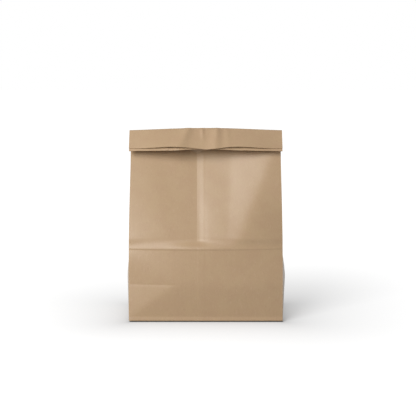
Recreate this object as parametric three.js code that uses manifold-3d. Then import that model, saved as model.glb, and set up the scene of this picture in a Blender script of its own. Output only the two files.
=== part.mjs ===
// Self-opening kraft paper bag, standing on its block bottom with its mouth closed by one forward fold.
// Millimetres, +Z up. The front panel faces -Y, and the origin is on the ground under the middle of the bag.
// The bag is one folded sheet and can't be seen into, so it is one closed solid with the sheet's outer form.
import * as THREE from 'three';
import { mergeVertices } from 'three/addons/utils/BufferGeometryUtils.js';
import Module from 'manifold-3d';

// Driving dimensions of the flat bag
const panelWidth = 180; // front and back panels
const bagDepth = 88; // block bottom from front to back, and a gusset laid flat
const flapLength = 30; // mouth edge to the top fold, along the paper
const innerEdgeReach = 1.8; // how far the front panel's mouth edge shows below the back panel's

// How the bag stands
const ridgeHeight = 221.5; // ground to the top fold at its ends
const ridgeRise = 2.6; // the top fold is higher at its middle
const riseFullness = 1.3; // power that sets how soon the rise falls away from the middle
const ridgeRadius = 2; // outer radius of the top fold
const mouthThickness = 1.3; // the layers of paper in the flap
const foldClearance = 0.3; // between the flap and the front panel where they leave the top fold
const cornerRadius = 1.6; // folded edges of the block bottom
const lipHeight = 7; // glued edge of the bottom, which flares out
const lipFlare = 0.4;
const lowCrease = bagDepth / 2; // crease where the bottom is folded flat for shipping
const highCrease = 86; // crease pressed in by the edge of the folded bottom
const creaseStand = 0.4; // how far the upper crease stands out
const creaseBand = 7; // height of the sloping band above the upper crease
const creaseSink = 0.15; // depth of the lower crease
const creaseReach = 2.5; // how far above and below a crease the paper bends
const panelSwell = 1; // the panels swell out between the bottom and the lower crease
const shoulderDraw = 4; // and draw in from the lower crease to the upper one
const panelCurve = { left: 7, right: 3, back: 3 }; // how far the sides of a panel lie behind its middle
const curveStart = 12; // height where a panel starts to curve
const curveEnd = 113; // height where the front panel is flat across again
const topNarrowing = 1.7; // each panel edge draws in towards the flap

// Side gussets
const gussetSwell = { left: 4.1, right: 5.2 }; // outward at the height of the lower crease
const swellEnd = 96; // height where the outward swell has died away
const inwardRun = 28; // height above the upper crease over which they reach their full inward fold
const notchClosing = [1.2, 2.4]; // half-openings, in ridge radii, between which a gusset's notch closes

// Folds of the front panel above the upper crease: lines from a low point to a high one [x, z], how much the
// surface turns there from left to right (negative at a crest) and how round it is
const leftCrest = { low: [-44, highCrease], high: [-84, 160], turn: -0.15, round: 9 };
const middleValley = { low: [-5, highCrease], high: [-10, 190], turn: 0.2, round: 2.5 };
const middleRidge = { low: [2, highCrease], high: [-4, 190], turn: -0.11, round: 3 };
const rightValley = { low: [24, highCrease], high: [24, 190], turn: 0.07, round: 4 };
const rightCrest = { low: [28, highCrease], high: [67, 158], turn: -0.22, round: 7 };
const upperStart = 0.09; // slope across the panel at its left edge
const upperGrowth = 18; // height above the upper crease over which these folds grow to their full depth
const upperSink = 1.4; // the panel falls back between its crests and its sides
const twist = { left: -3, right: 3, reach: 80, top: 207 }; // sunken on the left and swollen on the right

// Folds of the front panel below the lower crease, with the slope across each line
const lowerFoldLeft = { low: [-81, 11], high: [-36, lowCrease], slope: 0.13, round: 2.5 };
const lowerFoldRight = { low: [84, 8], high: [58, lowCrease], slope: 0.06, round: 6 };
const foldReturn = 1.5; // how fast the lower folds run out above the lower crease

// How the flap lies: its tilt away from upright at the ends, at the middle and halfway between them, in degrees
const flapTilt = { ends: 36.5, middle: 36.8, halves: 42 };
const flapTiltSpread = 0.75; // share of a half that swings out
const mouthGape = 3; // how far the two mouth edges part in each half

// Fineness of the solid
const frontSteps = 32;
const backSteps = 14;
const gussetSteps = 5; // from a panel edge to the centre fold
const zoneSteps = { lip: 2, bottom: 4, middle: 5, band: 2, upper: 9, top: 4 };
const flapSteps = { across: 36, arc: 6, drop: 5 };

const paper = new THREE.MeshStandardMaterial({ color: 0xc0a585, roughness: 0.82, metalness: 0 });

const foldCore = 0.8 * ridgeRadius; // how far the panels reach up inside the top fold
const backCore = 0.9 * ridgeRadius; // and how far the back panel reaches back in it
const halfWidth = panelWidth / 2;
const halfDepth = bagDepth / 2;
const bandTop = highCrease + creaseBand;
const shoulderDepth = halfDepth + panelSwell - shoulderDraw; // of a panel's middle at the upper crease
const ridgeBase = ridgeHeight - ridgeRadius;
const flapCover = ridgeBase - flapLength; // above it the flap hangs over the front panel
const frontRadius = ridgeRadius - mouthThickness - foldClearance; // the front panel lies inside the fold
const leanSlope = (shoulderDepth - ridgeRadius) / (ridgeBase - highCrease);
const leanAngle = Math.atan(leanSlope);

const clamp01 = (value) => THREE.MathUtils.clamp(value, 0, 1);
const smooth = (value, from, to) => THREE.MathUtils.smoothstep(value, from, to);
const ramp = (distance, round) => (distance + Math.hypot(distance, round)) / 2;
const bell = (distance, half) => 1 / (1 + (distance / half) ** 2) ** 2;

// Height of the top fold over its ends
function riseAt(x) {
  return ridgeRise * Math.cos((Math.PI / 2) * clamp01(Math.abs(x) / halfWidth)) ** riseFullness;
}

// Signed distance from a fold line, positive on its outer side
function beyond(fold, x, z) {
  const side = Math.sign(fold.low[0]);
  const run = fold.high[0] - fold.low[0];
  const climb = fold.high[1] - fold.low[1];
  const length = Math.hypot(run, climb);
  return (side * (climb * (x - fold.low[0]) - run * (z - fold.low[1]))) / length;
}

// Half-depth of the middle of a panel, from the flared lip to the top fold
function panelDepth(z) {
  const lip = lipFlare * (1 - smooth(z, cornerRadius, lipHeight));
  if (z <= highCrease) {
    const swell = panelSwell * smooth(z, 0, lowCrease);
    const sink = creaseSink * bell(z - lowCrease, creaseReach);
    const draw = shoulderDraw * clamp01((z - lowCrease) / (highCrease - lowCrease));
    const stand = creaseStand * smooth(z, highCrease - creaseReach, highCrease);
    return halfDepth + swell - draw + lip - sink + stand;
  }
  const stand = creaseStand * (1 - smooth(z, highCrease, bandTop));
  return shoulderDepth - leanSlope * (z - highCrease) + stand;
}

// The front panel runs up to the inside of the fold
function frontDepthAt(x, z) {
  const inside = (ridgeRadius - frontRadius) * smooth(z, highCrease, flapCover);
  return Math.max(panelDepth(z) - inside + frontRelief(x, z), frontRadius);
}

// A panel curves back towards its side edges
const sideCurve = (curve, x, z) => -curve * (x / halfWidth) ** 2 * smooth(z, curveStart, lowCrease);

// Depth of the folds above the upper crease, before they are levelled between the side edges
function foldedDepth(x, z) {
  let depth = upperStart * (x + halfWidth);
  for (const fold of [leftCrest, middleValley, middleRidge, rightValley, rightCrest]) {
    const share = Math.max(0, (z - fold.low[1]) / (fold.high[1] - fold.low[1]));
    depth += fold.turn * ramp(x - THREE.MathUtils.lerp(fold.low[0], fold.high[0], share), fold.round);
  }
  return depth;
}

function upperRelief(x, z) {
  const across = (x + halfWidth) / panelWidth;
  const level = THREE.MathUtils.lerp(foldedDepth(-halfWidth, z), foldedDepth(halfWidth, z), across);
  return foldedDepth(x, z) - level - upperSink;
}

// What the folds of the front panel add to its depth
function frontRelief(x, z) {
  const grown = smooth(z, highCrease, highCrease + upperGrowth) * (1 - smooth(z, flapCover, ridgeBase));
  const share = clamp01((z - highCrease) / (twist.top - highCrease));
  const swing = THREE.MathUtils.lerp(twist.left, twist.right, smooth(x, -twist.reach, twist.reach));
  const twisted = swing * Math.sin(Math.PI * share) * (1 - (x / halfWidth) ** 6);
  const curved = sideCurve(x < 0 ? panelCurve.left : panelCurve.right, x, z);
  let folded = 0;
  for (const fold of [lowerFoldLeft, lowerFoldRight]) {
    const above = Math.max(0, z - lowCrease) * foldReturn;
    folded -= fold.slope * ramp(beyond(fold, x, z) - above, fold.round);
  }
  const low = 1 - smooth(z, lowCrease, highCrease);
  return upperRelief(x, z) * grown + twisted + folded * low + curved * (1 - smooth(z, highCrease, curveEnd));
}

// The back panel has no folds across it, and rounds over inside the top fold
function backDepthAt(x, z) {
  const above = z - ridgeBase;
  if (above > 0) return (backCore / ridgeRadius) * Math.sqrt(ridgeRadius ** 2 - above ** 2);
  const curved = sideCurve(panelCurve.back, x, z) * (1 - smooth(z, highCrease, flapCover));
  return Math.max(panelDepth(z) + curved, backCore);
}

// Half of a panel's width at a height
function panelEdge(z) {
  const corner = cornerRadius * (1 - Math.sqrt(clamp01(z / cornerRadius) * (2 - clamp01(z / cornerRadius))));
  return halfWidth - corner - topNarrowing * smooth(z, highCrease, flapCover);
}

// Sideways place of a gusset's centre fold from the panel edges: outward near the bottom, inward above
function centreFold(side, z, edgeDepth) {
  const out = gussetSwell[side] * (z < lowCrease ? z / lowCrease : 1 - smooth(z, lowCrease, swellEnd));
  const slack = Math.sqrt(Math.max(0, halfDepth ** 2 - edgeDepth ** 2));
  const inward = slack * smooth(z, highCrease, highCrease + inwardRun);
  const notch = smooth(edgeDepth, notchClosing[0] * ridgeRadius, notchClosing[1] * ridgeRadius);
  return out - inward * notch;
}

// A gusset below the lower crease is flat between the two diagonals that rise from the bottom's corners
function gussetOffset(side, z, share, edgeDepth) {
  const folded = Math.min(1, z / lowCrease);
  return share < 1 ? centreFold(side, z, edgeDepth) * Math.min(1, (1 - share) / folded) : 0;
}

// The bag's outline at one height, counter-clockwise from above, starting at the front left edge
function outline(level) {
  const points = [];
  const edge = panelEdge(level);
  const corner = halfWidth - panelEdge(Math.min(level, cornerRadius));
  const lean = clamp01((level - highCrease) / (ridgeBase - highCrease));
  const place = (x, y) => new THREE.Vector3(x, y, level + riseAt(x) * lean);
  const frontDepth = (x) => frontDepthAt(x, level) - corner;
  const backDepth = (x) => backDepthAt(x, level) - corner;
  const gusset = (side, sign) => {
    const front = frontDepth(sign * edge);
    const back = backDepth(sign * edge);
    const reach = Math.min(front, back);
    for (let i = 0; i < 2 * gussetSteps; i += 1) {
      const along = sign * (i / gussetSteps - 1); // -1 front edge, 0 centre fold, 1 back edge
      const y = along * (along < 0 ? front : back);
      points.push(place(sign * (edge + gussetOffset(side, level, Math.abs(along), reach)), y));
    }
  };
  for (let i = 0; i < frontSteps; i += 1) {
    const x = edge * ((2 * i) / frontSteps - 1);
    points.push(place(x, -frontDepth(x)));
  }
  gusset('right', 1);
  for (let i = 0; i < backSteps; i += 1) {
    const x = edge * (1 - (2 * i) / backSteps);
    points.push(place(x, backDepth(x)));
  }
  gusset('left', -1);
  return points;
}

// Heights of the outlines: close together at the lip and the creases
function levels() {
  const stops = [
    [0, cornerRadius, zoneSteps.lip],
    [cornerRadius, lipHeight, zoneSteps.lip],
    [lipHeight, lowCrease - creaseReach, zoneSteps.bottom],
    [lowCrease - creaseReach, lowCrease, 1],
    [lowCrease, lowCrease + creaseReach, 1],
    [lowCrease + creaseReach, highCrease - creaseReach, zoneSteps.middle],
    [highCrease - creaseReach, highCrease, 1],
    [highCrease, bandTop, zoneSteps.band],
    [bandTop, flapCover, zoneSteps.upper],
    [flapCover, ridgeBase, zoneSteps.top],
    [ridgeBase, ridgeBase + foldCore, 1],
  ];
  const heights = [0];
  for (const [from, to, steps] of stops) {
    for (let i = 1; i <= steps; i += 1) heights.push(from + ((to - from) * i) / steps);
  }
  return heights;
}

// Drops all but the corners, joins the shared ones and moves each through a function
function shaped(geometry, move) {
  geometry.deleteAttribute('normal');
  geometry.deleteAttribute('uv');
  const closed = mergeVertices(geometry, 1e-5);
  const corners = closed.getAttribute('position');
  const point = new THREE.Vector3();
  for (let i = 0; i < corners.count; i += 1) {
    point.fromBufferAttribute(corners, i);
    corners.setXYZ(i, ...move(point).toArray());
  }
  return closed;
}

// The tube and its block bottom: a cylinder whose rings take the bag's outlines
function bagBody() {
  const heights = levels();
  const rings = heights.map(outline);
  const around = rings[0].length;
  const last = heights.length - 1;
  return shaped(new THREE.CylinderGeometry(1, 1, 1, around, last), (point) => {
    const ring = rings[Math.round((point.y + 0.5) * last)];
    if (Math.hypot(point.x, point.z) < 0.5) {
      return new THREE.Vector3(0, 0, Math.max(...ring.map((corner) => corner.z)));
    }
    const turn = Math.atan2(point.x, point.z) / (2 * Math.PI);
    return ring[(Math.round(turn * around) + around) % around];
  });
}

// Tilt of the flap at a place along the top fold
function tiltAt(x) {
  const across = clamp01(Math.abs(x) / halfWidth);
  const base = THREE.MathUtils.lerp(flapTilt.middle, flapTilt.ends, across);
  const swing = Math.sin(Math.PI * across) ** (1 / flapTiltSpread);
  return THREE.MathUtils.degToRad(THREE.MathUtils.lerp(base, flapTilt.halves, swing));
}

// A point of the flap: across the bag, along the paper from the back panel to the mouth, and in its thickness
function flapPoint(across, along, depthShare) {
  const x = across * panelWidth;
  const tilt = tiltAt(x);
  const axisZ = ridgeBase + riseAt(x);
  const arcShare = flapSteps.arc / (flapSteps.arc + flapSteps.drop);
  const turn = THREE.MathUtils.lerp(leanAngle, Math.PI - tilt, clamp01(along / arcShare));
  const drop = clamp01((along - arcShare) / (1 - arcShare));
  const gape = mouthGape * Math.sin(Math.PI * clamp01(Math.abs(x) / halfWidth)) ** 2 * drop ** 2;
  const inset = depthShare * (mouthThickness + gape);
  const length = (flapLength - ridgeRadius + depthShare * innerEdgeReach) * drop;
  const radius = ridgeRadius - inset;
  const y = radius * Math.cos(turn) - length * Math.sin(tilt);
  const z = axisZ + radius * Math.sin(turn) - length * Math.cos(tilt);
  return new THREE.Vector3(x, y, z);
}

// The folded mouth: a band bent over the top and hanging in front, clear of the front panel
function foldedMouth() {
  const along = flapSteps.arc + flapSteps.drop;
  return shaped(new THREE.BoxGeometry(1, 1, 1, flapSteps.across, 1, along), (point) =>
    flapPoint(point.x, point.z + 0.5, 0.5 - point.y),
  );
}

// Joins the two closed forms into one solid
async function join(first, second) {
  const wasm = await Module();
  wasm.setup();
  const solid = (geometry) =>
    new wasm.Manifold(
      new wasm.Mesh({
        numProp: 3,
        vertProperties: Float32Array.from(geometry.getAttribute('position').array),
        triVerts: Uint32Array.from(geometry.index.array),
      }),
    );
  const mesh = solid(first).add(solid(second)).getMesh();
  const geometry = new THREE.BufferGeometry();
  geometry.setAttribute('position', new THREE.BufferAttribute(mesh.vertProperties, 3));
  geometry.setIndex(new THREE.BufferAttribute(mesh.triVerts, 1));
  return geometry;
}

const bag = new THREE.Mesh(await join(bagBody(), foldedMouth()), paper);
bag.name = 'paper_bag';
const box = new THREE.Box3().setFromObject(bag);
bag.position.set(-(box.min.x + box.max.x) / 2, -(box.min.y + box.max.y) / 2, 0);

const group = new THREE.Group();
group.add(bag);
export default group;
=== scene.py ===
import math

import bpy
import numpy as np
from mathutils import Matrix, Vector


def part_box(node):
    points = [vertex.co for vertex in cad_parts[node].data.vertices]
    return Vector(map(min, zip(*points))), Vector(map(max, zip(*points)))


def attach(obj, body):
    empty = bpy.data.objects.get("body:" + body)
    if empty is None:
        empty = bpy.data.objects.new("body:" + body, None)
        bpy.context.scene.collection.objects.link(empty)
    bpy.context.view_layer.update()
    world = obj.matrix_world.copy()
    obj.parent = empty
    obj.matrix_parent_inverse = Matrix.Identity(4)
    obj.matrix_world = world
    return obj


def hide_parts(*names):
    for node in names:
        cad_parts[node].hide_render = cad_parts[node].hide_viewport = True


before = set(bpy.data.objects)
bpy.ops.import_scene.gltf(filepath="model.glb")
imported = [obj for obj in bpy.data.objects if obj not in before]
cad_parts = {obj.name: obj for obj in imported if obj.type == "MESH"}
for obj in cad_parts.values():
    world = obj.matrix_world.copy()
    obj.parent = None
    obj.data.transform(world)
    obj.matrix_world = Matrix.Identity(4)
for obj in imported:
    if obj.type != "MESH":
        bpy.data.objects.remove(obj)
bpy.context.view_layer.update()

mm = 0.001

# the bag's sizes in millimetres: the sheet, how it stands, and the folds that the use of the bag has left
bag = {
    "panelWidth": 180.0,
    "depth": 88.0,
    "flapLength": 30.0,
    "ridgeHeight": 221.5,
    "ridgeRise": 2.6,            # the top fold is higher in the middle than at its ends
    "riseShape": 1.3,
    "ridgeRadius": 2.0,
    "mouthThickness": 1.3,
    "foldClearance": 0.3,
    "cornerRadius": 1.6,
    "cornerShape": 0.6,
    "undercut": 4.0,             # the folded bottom lies back behind its lower edge
    "lipHeight": 7.0,
    "lipFlare": 0.8,
    "highCrease": 86.0,
    "creaseStand": 0.4,          # a narrow band above the upper crease stands out
    "creaseRun": 2.0,
    "creaseBand": 7.0,
    "creaseSink": 0.15,          # the lower crease is sunken
    "sinkHalf": 2.5,
    "panelSwell": 1.0,
    "shoulderDraw": 4.0,         # the panels draw in between the creases
    "topNarrowing": 1.7,
    "narrowingEnd": 20.0,        # below the top fold
    "gussetSwellLeft": 4.1,
    "gussetSwellRight": 5.2,
    "swellEnd": 96.0,
    "inwardRun": 28.0,
    "notchEnd": 1.2,             # half-depths, as shares of the top fold's radius, where the gusset's
    "notchStart": 2.4,           # centre fold is level with its edges and where it is fully inside
    "paperThickness": 0.25,      # drawn a little thicker than the real 0.1, so that the cut edge shows
}
halfWidth = bag["panelWidth"] / 2
halfDepth = bag["depth"] / 2
lowCrease = bag["depth"] / 2
highCrease = bag["highCrease"]
bandTop = highCrease + bag["creaseBand"]
shoulderDepth = halfDepth + bag["panelSwell"] - bag["shoulderDraw"]
ridgeRadius = bag["ridgeRadius"]
ridgeBase = bag["ridgeHeight"] - ridgeRadius
frontRadius = ridgeRadius - bag["mouthThickness"] - bag["foldClearance"]
leanSlope = (shoulderDepth - ridgeRadius) / (ridgeBase - highCrease)
leanAngle = math.atan(leanSlope)

# folds across the front panel above the upper crease: a line from a low to a high point [x, z], how much the
# surface turns at it from left to right (negative at a crest, positive in a valley) and how round it is
broadFolds = [
    {"low": (-48, 86), "high": (-88, 158), "turn": -0.04, "round": 9},
    {"low": (-33, 86), "high": (-51, 190), "turn": 0.05, "round": 6},
    {"low": (25, 86), "high": (30, 190), "turn": 0.09, "round": 4},
    {"low": (37, 86), "high": (65, 158), "turn": -0.23, "round": 7},
]
seamFolds = [
    {"low": (-8, 86), "high": (-10, 190), "turn": 0.26, "round": 2.2},
    {"low": (3, 86), "high": (-4, 190), "turn": -0.08, "round": 3},
]
# how those folds sit in the panel: slope at the left edge, how far they stand out, the heights above the crease
# over which they grow, and the height below the top fold over which they fade
upper = {"slope": 0.03, "stand": 2.0, "broadGrowth": 12.0, "seamGrowth": 10.8, "fade": 18.0}

# the glued overlap of the sheet runs up the middle of the front panel
seam = {"left": -10.0, "right": 0.0, "stand": 0.09, "leftEdge": 1.2, "rightEdge": 3.0}
# the upper part of the panel swells out, more on the left than on the right, and not at its side edges
twist = {"left": 3.0, "right": 0.2, "reach": 80.0, "top": 207.0, "edgeShape": 3}

# folds below the lower crease: outside the line from the low to the high point the panel leans back by the slope
lowerFolds = [
    {"low": (-81, 11), "high": (-36, lowCrease), "slope": 0.16, "round": 2.5},
    {"low": (84, 8), "high": (58, lowCrease), "slope": 0.06, "round": 6},
]
foldReturn = 1.5                 # how fast those lines move outward above the lower crease

# how far the side edges curve back: at the lower crease, at the upper one on the left and right, and up to where
curve = {"low": 1.5, "left": 6.5, "right": 8.0, "end": 165.0}
# the same for the back panel, whose curve ends the given height below the top fold, and the share of that fold's
# radius at which the panel runs up inside it
backPanel = {"curve": 3.0, "curveEnd": 40.0, "inFold": 0.9}

# faint unevenness of a handled sheet: its size, and the heights below the top fold between which it fades
waves = {
    "count": 9,
    "shortest": 22.0,
    "longest": 70.0,
    "unit": 50.0,                # a longer wave is higher: one of this length has the size divided by the count
    "bottomStart": 4.0,
    "bottomEnd": 24.0,
    "front": {"seed": 3, "size": 0.5, "fadeFrom": 14.0, "fadeTo": 2.0},
    "back": {"seed": 8, "size": 0.6, "fadeFrom": 30.0, "fadeTo": 6.0},
    "flap": {"seed": 12, "size": 0.35, "growth": 0.4},
}

# the flap's tilt at its ends, its middle and halfway between, and how far the two mouth edges part
flap = {"ends": 36.5, "middle": 36.8, "halves": 42.0, "spread": 0.6, "gape": 3.0}

# how much longer than the flap each layer is at its ends, its middle and halfway between: the front panel's mouth
# edge, the inner one, shows below the back panel's except in the middle
outerTrim = {"ends": -4.2, "middle": 0.7, "halves": -2.4}
innerTrim = {"ends": -0.6, "middle": -0.4, "halves": 0.2}

# the layers of paper in the mouth: how far each lies inside the top fold's surface, its share of the gape, and how
# far down the back it starts
mouthOuter = {"trim": outerTrim, "inset": -0.02, "gape": 0.0, "start": 24, "turnSteps": 14, "dropSteps": 22}
mouthInner = {"trim": innerTrim, "inset": 0.95, "gape": 1.0, "start": 1, "turnSteps": 10, "dropSteps": 18}
gussetOuter = {"trim": outerTrim, "inset": 0.3, "gape": 0.05, "start": 1, "turnSteps": 10, "dropSteps": 14}
gussetInner = {"trim": innerTrim, "inset": 0.62, "gape": 0.9, "start": 1, "turnSteps": 10, "dropSteps": 14}
backSteps = 8

# soft pleats over the flap: middle at the top fold and at the edge, half-width, height, and how far down they last
flapPleats = [
    {"top": -21, "edge": -32, "width": 7.5, "stand": 3.8, "lasts": 3.0},
    {"top": -4, "edge": -3, "width": 2.6, "stand": 1.5, "lasts": 0.45},
    {"top": 13, "edge": 11, "width": 6.2, "stand": 3.0, "lasts": 3.0},
    {"top": 25, "edge": 26, "width": 4, "stand": 0.7, "lasts": 3.0},
]
# shares of those widths at the top fold and at the edge, and of the height on the top fold and just below it
pleatShares = {"topWidth": 0.7, "edgeWidth": 1.2, "onFold": 0.15, "belowFold": 0.6}

# columns of the mesh round the bag, and what belongs to its joints
mesh = {
    "front": 140,
    "seam": 40,
    "seamMargin": 1.0,
    "gusset": 22,
    "back": 80,
    "mouthOuter": 181,
    "mouthInner": 121,
    "innerMargin": 0.3,          # the inner layers end this far inside the bag's sides
    "gussetLayer": 25,
    "gussetMargin": 0.15,
    "sewGap": 0.002,
    "leastRun": 0.02,            # keeps a divisor from reaching zero at the bottom
    "smoothAngle": 38.0,
    "lipBand": 1.0,              # heights of the parts beside the lip, the creases and the top fold that have
    "lowBand": 4.0,              # rows close together
    "highBand": 3.0,
    "bandMargin": 2.0,
    "topBand": 24.0,
    "foldShare": 0.8,            # of the top fold's radius, up to which the tube reaches
}


def clamp01(value):
    return np.clip(value, 0.0, 1.0)


def smooth(value, low, high):
    t = clamp01((np.asarray(value, float) - low) / (high - low))
    return t * t * (3 - 2 * t)


def mix(first, second, share):
    return first + (second - first) * share


def ramp(distance, rounding):
    return (distance + np.hypot(distance, rounding)) / 2


def bell(distance, half):
    return 1 / (1 + (distance / half) ** 2) ** 2


def riseAt(x):
    return bag["ridgeRise"] * np.cos(np.pi / 2 * clamp01(np.abs(x) / halfWidth)) ** bag["riseShape"]


def beyond(fold, x, z):
    # signed distance from a fold line, positive on its outer side
    side = math.copysign(1, fold["low"][0])
    run = fold["high"][0] - fold["low"][0]
    climb = fold["high"][1] - fold["low"][1]
    return side * (climb * (x - fold["low"][0]) - run * (z - fold["low"][1])) / math.hypot(run, climb)


def panelDepth(z):
    # half-depth of the middle of a panel, from the flared lip to the top fold
    lip = bag["lipFlare"] * (1 - smooth(z, bag["cornerRadius"], bag["lipHeight"]))
    swell = bag["panelSwell"] * smooth(z, 0, lowCrease)
    sink = bag["creaseSink"] * bell(z - lowCrease, bag["sinkHalf"])
    draw = bag["shoulderDraw"] * clamp01((z - lowCrease) / (highCrease - lowCrease))
    standBelow = bag["creaseStand"] * smooth(z, highCrease - bag["creaseRun"], highCrease)
    standAbove = bag["creaseStand"] * (1 - smooth(z, highCrease, bandTop))
    standing = halfDepth + swell - draw + lip - sink + standBelow
    leaning = shoulderDepth - leanSlope * (z - highCrease) + standAbove
    return np.where(z <= highCrease, standing, leaning)


def softWaves(x, z, kind):
    rng = np.random.default_rng(kind["seed"])
    total = np.zeros(np.broadcast(x, z).shape)
    for _ in range(waves["count"]):
        length = rng.uniform(waves["shortest"], waves["longest"])
        angle = rng.uniform(0, np.pi)
        phase = rng.uniform(0, 2 * np.pi)
        along = x * np.cos(angle) + z * np.sin(angle)
        total = total + np.sin(2 * np.pi * along / length + phase) * length / waves["unit"]
    return total * kind["size"] / waves["count"]


def panelWaves(x, z, kind):
    # the unevenness of a panel, which fades towards the bottom and the top fold
    calm = smooth(z, waves["bottomStart"], waves["bottomEnd"])
    calm = calm * (1 - smooth(z, ridgeBase - kind["fadeFrom"], ridgeBase - kind["fadeTo"]))
    return softWaves(x, z, kind) * calm


def foldedRelief(folds, slope, x, z):
    # crests and valleys above the upper crease, level at both side edges
    def height(at):
        total = slope * (at + halfWidth)
        for fold in folds:
            share = (z - fold["low"][1]) / (fold["high"][1] - fold["low"][1])
            line = mix(fold["low"][0], fold["high"][0], np.maximum(share, 0))
            total = total + fold["turn"] * ramp(at - line, fold["round"])
        return total
    level = mix(height(-halfWidth), height(halfWidth), (x + halfWidth) / (2 * halfWidth))
    return height(x) - level


def upperRelief(x, z):
    # the folds above the upper crease
    above = np.maximum(z, highCrease)
    broad = foldedRelief(broadFolds, upper["slope"], x, above) + upper["stand"]
    broad = broad * smooth(z, highCrease, highCrease + upper["broadGrowth"])
    seamed = foldedRelief(seamFolds, 0.0, x, above)
    seamed = seamed * smooth(z, highCrease, highCrease + upper["seamGrowth"])
    return (broad + seamed) * (1 - smooth(z, ridgeBase - upper["fade"], ridgeBase))


def lowerRelief(x, z):
    # the folds below the lower crease, which run out between the creases
    above = np.maximum(0, z - lowCrease) * foldReturn
    low = 1 - smooth(z, lowCrease, highCrease)
    total = 0.0
    for fold in lowerFolds:
        total = total - fold["slope"] * ramp(beyond(fold, x, z) - above, fold["round"]) * low
    return total


def frontRelief(x, z):
    # a gentle curve in the bottom part, and more of it towards the upper crease
    highBend = np.where(x < 0, curve["left"], curve["right"])
    bend = mix(curve["low"], highBend, clamp01((z - lowCrease) / (highCrease - lowCrease)))
    side = -bend * (x / halfWidth) ** 2 * smooth(z, 0, lowCrease) * (1 - smooth(z, highCrease, curve["end"]))
    swing = mix(twist["left"], twist["right"], smooth(x, -twist["reach"], twist["reach"]))
    share = clamp01((z - highCrease) / (twist["top"] - highCrease))
    swing = swing * np.sin(np.pi * share) * (1 - np.abs(x / halfWidth) ** twist["edgeShape"])
    overlap = smooth(x, seam["left"], seam["left"] + seam["leftEdge"])
    overlap = overlap * (1 - smooth(x, seam["right"] - seam["rightEdge"], seam["right"]))
    return side + upperRelief(x, z) + lowerRelief(x, z) + swing + seam["stand"] * overlap


def frontDepthAt(x, z):
    inside = (ridgeRadius - frontRadius) * smooth(z, highCrease, ridgeBase - bag["flapLength"])
    return np.maximum(panelDepth(z) - inside + frontRelief(x, z) + panelWaves(x, z, waves["front"]), frontRadius)


def backDepthAt(x, z):
    fade = 1 - smooth(z, highCrease, ridgeBase - backPanel["curveEnd"])
    side = -backPanel["curve"] * (x / halfWidth) ** 2 * smooth(z, 0, lowCrease) * fade
    above = np.maximum(z - ridgeBase, 0)
    inFold = backPanel["inFold"] * np.sqrt(np.maximum(ridgeRadius ** 2 - above ** 2, 0))
    below = panelDepth(z) + side + panelWaves(x, z, waves["back"])
    return np.where(z > ridgeBase, inFold, np.maximum(below, backPanel["inFold"] * ridgeRadius))


def panelEdge(z):
    low = clamp01(z / bag["cornerRadius"])
    corner = bag["undercut"] * (1 - low) ** bag["cornerShape"]
    return halfWidth - corner - bag["topNarrowing"] * smooth(z, highCrease, ridgeBase - bag["narrowingEnd"])


def centreFold(swell, z, edgeDepth):
    # sideways place of a gusset's centre fold: outward near the bottom, inward above
    out = swell * np.where(z < lowCrease, z / lowCrease, 1 - smooth(z, lowCrease, bag["swellEnd"]))
    inward = np.sqrt(np.maximum(0, halfDepth ** 2 - edgeDepth ** 2))
    inward = inward * smooth(z, highCrease, highCrease + bag["inwardRun"])
    notch = smooth(edgeDepth, bag["notchEnd"] * ridgeRadius, bag["notchStart"] * ridgeRadius)
    return out - inward * notch


def heights():
    # the heights of the mesh's rows, from a list of where each part ends and how many rows it has
    zones = [
        (bag["cornerRadius"], 4),
        (bag["lipHeight"] + mesh["lipBand"], 8),
        (lowCrease - mesh["lowBand"], 18),
        (lowCrease + mesh["lowBand"], 12),
        (highCrease - mesh["highBand"], 22),
        (highCrease + mesh["highBand"], 16),
        (bandTop + mesh["bandMargin"], 6),
        (ridgeBase - mesh["topBand"], 62),
        (ridgeBase, 14),
        (ridgeBase + mesh["foldShare"] * ridgeRadius, 2),
    ]
    rows = [0.0]
    start = 0.0
    for end, steps in zones:
        rows += list(np.linspace(start, end, steps + 1)[1:])
        start = end
    return np.array(rows)


def makeGrid(name, points):
    # a grid of vertices at the given rows of points
    bpy.ops.object.select_all(action="DESELECT")
    bpy.ops.mesh.primitive_grid_add(x_subdivisions=points.shape[1] - 1, y_subdivisions=points.shape[0] - 1, size=1)
    piece = bpy.context.active_object
    piece.name = name
    piece.data.name = name
    piece.data.vertices.foreach_set("co", points.reshape(-1) * mm)
    piece.data.update()
    return piece


def bodyRing(z, front, side, back):
    # the outline of the bag at one height: front panel, right gusset, back panel, left gusset
    edge = float(panelEdge(z))
    corner = halfWidth - float(panelEdge(min(z, bag["cornerRadius"])))
    lean = float(clamp01((z - highCrease) / (ridgeBase - highCrease)))
    flat = 1 - z / lowCrease if z < lowCrease else 0
    sides = {}
    for sign, swell in ((1, bag["gussetSwellRight"]), (-1, bag["gussetSwellLeft"])):
        frontEdge = float(frontDepthAt(sign * edge, z)) - corner
        backEdge = float(backDepthAt(sign * edge, z)) - corner
        fold = float(centreFold(swell, z, min(frontEdge, backEdge)))
        along = sign * side
        out = fold * clamp01((1 - np.abs(along)) / max(1 - flat, mesh["leastRun"]))
        sides[sign] = (sign * (edge + out), along * np.where(along < 0, frontEdge, backEdge))
    x = np.concatenate([edge * front, sides[1][0], edge * back, sides[-1][0]])
    y = np.concatenate([corner - frontDepthAt(edge * front, z), sides[1][1],
                        backDepthAt(edge * back, z) - corner, sides[-1][1]])
    ring = np.stack([x, y, z + riseAt(x) * lean], axis=1)
    return np.vstack([ring, ring[:1]])


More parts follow.
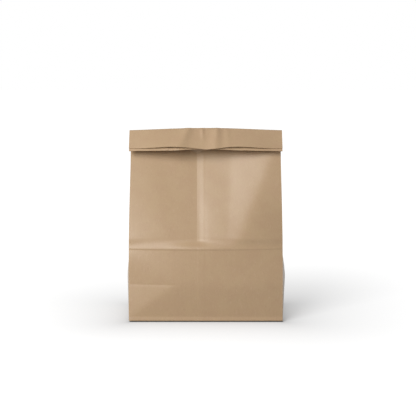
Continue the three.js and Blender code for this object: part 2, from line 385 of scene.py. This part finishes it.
def makeBody():
    # the tube of the bag: a grid rolled round the outline at each height, then sewn and closed below
    seamEnds = (seam["left"] - mesh["seamMargin"], seam["right"] + mesh["seamMargin"])
    front = np.linspace(-1, 1, mesh["front"] + 1)[:-1]
    front = np.union1d(front, np.linspace(*seamEnds, mesh["seam"]) / halfWidth)
    side = np.linspace(-1, 1, 2 * mesh["gusset"] + 1)[:-1]
    back = np.linspace(1, -1, mesh["back"] + 1)[:-1]
    piece = makeGrid("bag_tube", np.array([bodyRing(z, front, side, back) for z in heights()]))
    bpy.ops.object.mode_set(mode="EDIT")
    bpy.ops.mesh.select_all(action="SELECT")
    bpy.ops.mesh.remove_doubles(threshold=mesh["sewGap"] * mm)
    bpy.ops.mesh.select_all(action="DESELECT")
    bpy.ops.mesh.select_mode(type="EDGE")
    bpy.ops.mesh.select_non_manifold(extend=False)
    bpy.ops.mesh.edge_face_add()
    bpy.ops.mesh.select_all(action="SELECT")
    bpy.ops.mesh.normals_make_consistent(inside=False)
    bpy.ops.object.mode_set(mode="OBJECT")
    return piece


def acrossFlap(values, x):
    # a value given at the flap's ends, its middle and halfway between
    across = clamp01(np.abs(x) / halfWidth)
    base = mix(values["middle"], values["ends"], across)
    swing = np.sin(np.pi * across) ** (1 / flap["spread"])
    return mix(base, values["halves"], swing)


def pleatStand(x, down):
    # how far the pleats stand out at a share of the way down the flap
    total = np.zeros(np.broadcast(x, down).shape)
    for pleat in flapPleats:
        middle = mix(pleat["top"], pleat["edge"], down)
        width = pleat["width"] * mix(pleatShares["topWidth"], pleatShares["edgeWidth"], down)
        lasting = np.exp(-(down / pleat["lasts"]) ** 2)
        total = total + pleat["stand"] * np.exp(-((x - middle) / width) ** 2) * lasting
    return total


def layerPoints(across, layer):
    # one layer of paper over the top fold: it starts down the back, turns over and hangs in front
    x = across[None, :]
    tilt = np.radians(acrossFlap(flap, x))
    axisZ = ridgeBase + riseAt(x)
    fullRadius = ridgeRadius - layer["inset"]
    rows = []
    for share in np.linspace(1, 0, backSteps)[:-1]:
        y = fullRadius * np.cos(leanAngle) + share * layer["start"] * np.sin(leanAngle)
        z = axisZ + fullRadius * np.sin(leanAngle) - share * layer["start"] * np.cos(leanAngle)
        rows.append((x, y + 0 * z, z))
    for share in np.linspace(0, 1, layer["turnSteps"] + 1):
        turn = mix(leanAngle, np.pi - tilt, share)
        radius = fullRadius + pleatShares["onFold"] * pleatStand(x, 0.0) * np.sin(np.pi * share * 0.5) ** 2
        rows.append((x, radius * np.cos(turn), axisZ + radius * np.sin(turn)))
    for drop in np.linspace(0, 1, layer["dropSteps"] + 1)[1:]:
        gape = flap["gape"] * np.sin(np.pi * clamp01(np.abs(x) / halfWidth)) ** 2 * drop ** 2 * layer["gape"]
        length = (bag["flapLength"] - ridgeRadius + acrossFlap(layer["trim"], x)) * drop
        uneven = softWaves(x, drop * bag["flapLength"], waves["flap"]) * smooth(drop, 0, waves["flap"]["growth"])
        lift = pleatStand(x, drop) * mix(pleatShares["belowFold"], 1, drop)
        radius = fullRadius - gape + uneven
        y = -(radius + lift) * np.cos(tilt) - length * np.sin(tilt)
        z = axisZ + (radius + lift * (1 - drop) ** 2) * np.sin(tilt) - length * np.cos(tilt)
        rows.append((x, y, z))
    return np.stack([np.stack(row, axis=-1)[0] for row in rows])


def makeLayer(name, across, layer):
    piece = makeGrid(name, layerPoints(across, layer))
    bpy.ops.object.mode_set(mode="EDIT")
    bpy.ops.mesh.select_all(action="SELECT")
    bpy.ops.mesh.flip_normals()
    bpy.ops.object.mode_set(mode="OBJECT")
    thick = piece.modifiers.new("paper", "SOLIDIFY")
    thick.thickness = bag["paperThickness"] * mm
    thick.offset = -1
    bpy.ops.object.modifier_apply(modifier=thick.name)
    return piece


def makeLayers():
    innerReach = halfWidth - mesh["innerMargin"]
    layers = [
        makeLayer("mouth_outer", np.linspace(-halfWidth, halfWidth, mesh["mouthOuter"]), mouthOuter),
        makeLayer("mouth_inner", np.linspace(-innerReach, innerReach, mesh["mouthInner"]), mouthInner),
    ]
    for side in (-1, 1):
        reach = np.sort(np.linspace(halfWidth - mesh["gussetMargin"], halfDepth, mesh["gussetLayer"]) * side)
        layers.append(makeLayer("gusset_outer", reach, gussetOuter))
        layers.append(makeLayer("gusset_inner", reach, gussetInner))
    return layers


def linearFromHex(code):
    parts = [int(code[i:i + 2], 16) / 255 for i in (1, 3, 5)]
    return tuple(c / 12.92 if c <= 0.04045 else ((c + 0.055) / 1.055) ** 2.4 for c in parts) + (1.0,)


def addNode(tree, kind, settings, links):
    # a node with its settings, and its sockets set to a value or linked from another node's output
    node = tree.nodes.new(kind)
    for key, value in settings.items():
        setattr(node, key, value)
    for socket, value in links.items():
        if isinstance(value, bpy.types.NodeSocket):
            tree.links.new(value, node.inputs[socket])
        else:
            node.inputs[socket].default_value = value
    return node


# unbleached kraft paper, about 70 g/m2: pulp fibres in two tones, a cloudy formation, and a calendered face; each
# tone sets in between two values of its noise and reaches the given share
kraft = {
    "paper": "#b49876",
    "cloud": {"colour": "#b09172", "from": 0.35, "to": 0.65, "share": 0.55},
    "darkFibre": {"colour": "#a08465", "from": 0.58, "to": 0.75, "share": 0.4},
    "lightFibre": {"colour": "#bfa488", "from": 0.42, "to": 0.28, "share": 0.4},
    "roughness": 0.38,
    "specular": 0.52,
    "cloudMm": 14.0,             # spacing of the clouds in the pulp
    "fibreMm": 1.3,              # real fibres are about 0.03 by 3 mm: drawn coarser so that they show
    "fibreStretch": 0.3,
    "grainMm": 0.5,
    "bump": 0.12,
    "bumpMm": 0.1,
}


def addTone(tree, base, noise, tone):
    # lays a tone over a base colour, from nothing at the noise's first value to the full share at its second
    share = addNode(tree, "ShaderNodeMapRange", {}, {
        "Value": noise.outputs["Fac"], "From Min": tone["from"], "From Max": tone["to"],
        "To Min": 0.0, "To Max": tone["share"]})
    blend = addNode(tree, "ShaderNodeMix", {"data_type": "RGBA"}, {
        "Factor": share.outputs["Result"], "A": base, "B": linearFromHex(tone["colour"])})
    return blend.outputs["Result"]


def makeKraftPaper():
    material = bpy.data.materials.new("kraft_paper")
    material.use_nodes = True
    tree = material.node_tree
    shader = tree.nodes["Principled BSDF"]
    shader.inputs["Roughness"].default_value = kraft["roughness"]
    shader.inputs["Specular IOR Level"].default_value = kraft["specular"]
    place = addNode(tree, "ShaderNodeTexCoord", {}, {}).outputs["Object"]
    cloud = addNode(tree, "ShaderNodeTexNoise", {}, {
        "Vector": place, "Scale": 1 / (kraft["cloudMm"] * mm), "Detail": 3.0, "Roughness": 0.55})
    stretch = addNode(tree, "ShaderNodeMapping", {}, {
        "Vector": place, "Scale": (1.0, 1.0, kraft["fibreStretch"])})
    fibre = addNode(tree, "ShaderNodeTexNoise", {}, {
        "Vector": stretch.outputs["Vector"], "Scale": 1 / (kraft["fibreMm"] * mm), "Detail": 2.0,
        "Distortion": 1.5})
    grain = addNode(tree, "ShaderNodeTexNoise", {}, {
        "Vector": place, "Scale": 1 / (kraft["grainMm"] * mm), "Detail": 2.0})
    colour = addTone(tree, linearFromHex(kraft["paper"]), cloud, kraft["cloud"])
    colour = addTone(tree, colour, fibre, kraft["darkFibre"])
    colour = addTone(tree, colour, fibre, kraft["lightFibre"])
    tree.links.new(colour, shader.inputs["Base Color"])
    bump = addNode(tree, "ShaderNodeBump", {}, {
        "Height": grain.outputs["Fac"], "Strength": kraft["bump"], "Distance": kraft["bumpMm"] * mm})
    tree.links.new(bump.outputs["Normal"], shader.inputs["Normal"])
    return material


print("shaping the bag")
body = makeBody()
layers = makeLayers()

bpy.ops.object.select_all(action="DESELECT")
for piece in layers + [body]:
    piece.select_set(True)
bpy.context.view_layer.objects.active = body
bpy.ops.object.join()
body.name = "bag_paper"
body.data.name = "bag_paper"
bpy.ops.object.shade_smooth_by_angle(angle=math.radians(mesh["smoothAngle"]))

# the bag is put where the solid is: sideways by half the difference of the gussets, and to its middle in depth
low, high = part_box("paper_bag")
centreX = -(bag["gussetSwellRight"] - bag["gussetSwellLeft"]) / 2
own = np.empty(len(body.data.vertices) * 3)
body.data.vertices.foreach_get("co", own)
own = own.reshape(-1, 3)
own[:, 0] += centreX * mm
own[:, 1] += (low.y + high.y) / 2 - (own[:, 1].min() + own[:, 1].max()) / 2
body.data.vertices.foreach_set("co", own.reshape(-1))
body.data.update()
body.data.materials.clear()
body.data.materials.append(makeKraftPaper())
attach(body, "root")
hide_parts("paper_bag")
print("bag", len(body.data.polygons), "faces")

# the studio: a white sweep, one large soft box in front on the left, and a white room as fill
studio = {
    "floorSize": 12.0,
    "floorColour": "#a9a9a9",
    # closer to the bag than this the floor's added white is weaker, a painted shade round the footprint; the power
    # below sets how soon that painted shade fades to white
    "paintedShadeReach": 0.5,              # metres from the bag where the camera sees the floor as plain white
    "paintedShadeFade": 0.185,          # how soon the white sets in
    "keyFrom": (-0.64, -1.04, 0.82),
    "keyAim": (0.0, 0.0, 0.1),
    "keyWide": 0.75,
    "keyTall": 1.2,
    "keyPower": 20.6,
    "fill": 0.13,
}


def viewedShare(tree):
    # 1 for what the camera sees straight or mirrored, and 0 for the light that falls on things
    rays = addNode(tree, "ShaderNodeLightPath", {}, {})
    return addNode(tree, "ShaderNodeMath", {"operation": "MAXIMUM"}, {
        0: rays.outputs["Is Camera Ray"], 1: rays.outputs["Is Glossy Ray"]}).outputs["Value"]


def makeFloor():
    bpy.ops.object.select_all(action="DESELECT")
    bpy.ops.mesh.primitive_plane_add(size=studio["floorSize"], location=(0, 0, 0))
    floor = bpy.context.active_object
    floor.name = "studio_floor"
    material = bpy.data.materials.new("white_sweep")
    material.use_nodes = True
    tree = material.node_tree
    tree.nodes.clear()
    # the distance from the bag's footprint sets how white the floor is seen: the camera-seen white is weaker near
    # the bag, a painted shade round its footprint laid over the real shadow that the floor's paint takes from the
    # lamp
    place = addNode(tree, "ShaderNodeTexCoord", {}, {})
    mirrored = addNode(tree, "ShaderNodeVectorMath", {"operation": "ABSOLUTE"}, {0: place.outputs["Object"]})
    offset = addNode(tree, "ShaderNodeVectorMath", {"operation": "SUBTRACT"}, {
        0: mirrored.outputs["Vector"], 1: (halfWidth * mm, halfDepth * mm, 0)})
    outside = addNode(tree, "ShaderNodeVectorMath", {"operation": "MAXIMUM"}, {
        0: offset.outputs["Vector"], 1: (0, 0, 0)})
    away = addNode(tree, "ShaderNodeVectorMath", {"operation": "LENGTH"}, {0: outside.outputs["Vector"]})
    part = addNode(tree, "ShaderNodeMapRange", {}, {
        "Value": away.outputs["Value"], "From Max": studio["paintedShadeReach"]})
    share = addNode(tree, "ShaderNodeMath", {"operation": "POWER"}, {
        0: part.outputs["Result"], 1: studio["paintedShadeFade"]})
    seen = addNode(tree, "ShaderNodeMath", {"operation": "MULTIPLY"}, {
        0: share.outputs["Value"], 1: viewedShare(tree)})
    paint = addNode(tree, "ShaderNodeBsdfDiffuse", {}, {"Color": linearFromHex(studio["floorColour"])})
    white = addNode(tree, "ShaderNodeEmission", {}, {
        "Color": (1, 1, 1, 1), "Strength": seen.outputs["Value"]})
    floorShade = addNode(tree, "ShaderNodeAddShader", {}, {
        0: paint.outputs["BSDF"], 1: white.outputs["Emission"]})
    addNode(tree, "ShaderNodeOutputMaterial", {}, {"Surface": floorShade.outputs["Shader"]})
    floor.data.materials.append(material)


def makeRoom():
    world = bpy.data.worlds.new("white_room")
    world.use_nodes = True
    tree = world.node_tree
    strength = addNode(tree, "ShaderNodeMapRange", {}, {
        "Value": viewedShare(tree), "To Min": studio["fill"], "To Max": 1.0})
    shade = tree.nodes["Background"]
    shade.inputs["Color"].default_value = (1, 1, 1, 1)
    tree.links.new(strength.outputs["Result"], shade.inputs["Strength"])
    bpy.context.scene.world = world


def makeLamp():
    lamp = bpy.data.lights.new("soft_box", "AREA")
    lamp.shape = "RECTANGLE"
    lamp.size = studio["keyWide"]
    lamp.size_y = studio["keyTall"]
    lamp.energy = studio["keyPower"]
    source = bpy.data.objects.new("soft_box", lamp)
    source.location = studio["keyFrom"]
    aim = Vector(studio["keyAim"]) - Vector(studio["keyFrom"])
    source.rotation_euler = aim.to_track_quat("-Z", "Y").to_euler()
    bpy.context.scene.collection.objects.link(source)


# the camera stands above the bag's top and looks slightly down
view = {"lens": 100.0, "sensor": 36.0, "distance": 1.3642, "height": 0.3292, "pitch": 8.37, "aside": 0.0021}


def makeCamera():
    lens = bpy.data.cameras.new("camera")
    lens.lens = view["lens"]
    lens.sensor_width = view["sensor"]
    camera = bpy.data.objects.new("camera", lens)
    camera.location = (view["aside"], -view["distance"], view["height"])
    camera.rotation_euler = (math.radians(90 - view["pitch"]), 0, 0)
    bpy.context.scene.collection.objects.link(camera)
    bpy.context.scene.camera = camera


print("setting the studio")
makeFloor()
makeRoom()
makeLamp()
makeCamera()
bpy.context.scene.view_settings.view_transform = "Standard"
